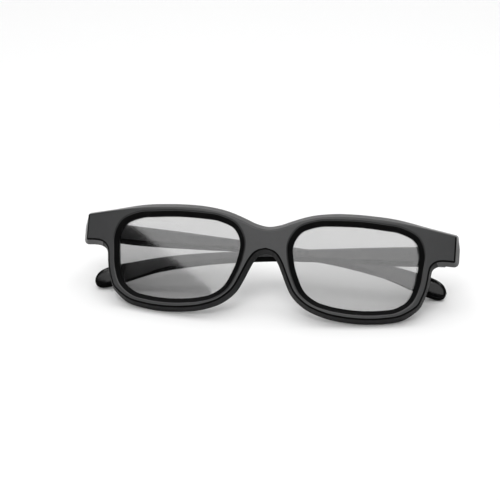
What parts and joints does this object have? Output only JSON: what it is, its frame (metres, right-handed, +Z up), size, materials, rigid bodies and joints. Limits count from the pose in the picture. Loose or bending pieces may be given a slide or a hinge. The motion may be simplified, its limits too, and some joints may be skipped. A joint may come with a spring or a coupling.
{
  "type": "3d glasses",
  "caption": "Black moulded glasses with polarising film lenses and folding ear arms, resting folded on rims and arm tips.",
  "frame": {"origin": "on the floor, under the middle of the folded glasses' bounding box", "axes": "+X to the wearer's left, +Y towards the wearer, +Z up; the front faces -Y and leans back"},
  "size_m": [0.1492, 0.0382, 0.0379],
  "materials": {
    "frame_plastic": "fine satin moulded black",
    "retarder_film": "clear glossy film",
    "polariser_film": "neutral grey glossy film",
    "pin_steel": "plain steel"
  },
  "bodies": {
    "front": {"front_frame": "frame_plastic", "lens_left_retarder": "retarder_film", "lens_left_polariser": "polariser_film", "lens_right_retarder": "retarder_film", "lens_right_polariser": "polariser_film", "hinge_pin_left": "pin_steel", "hinge_pin_right": "pin_steel"},
    "left_arm": {"arm_left": "frame_plastic"},
    "right_arm": {"arm_right": "frame_plastic"}
  },
  "joints": [
    {"name": "left_arm_hinge", "type": "hinge", "parent": "front", "child": "left_arm", "pos_m": [0.0684, 0.01226, 0.01867], "axis": [0.0113, -0.5217, -0.853], "range_deg": [0, 90]},
    {"name": "right_arm_hinge", "type": "hinge", "parent": "front", "child": "right_arm", "pos_m": [-0.0684, 0.01287, 0.0197], "axis": [-0.0113, 0.4886, 0.8724], "range_deg": [0, 90]}
  ],
  "couplings": [
    {"joint": "right_arm_hinge", "follows": "left_arm_hinge", "ratio": 1}
  ]
}
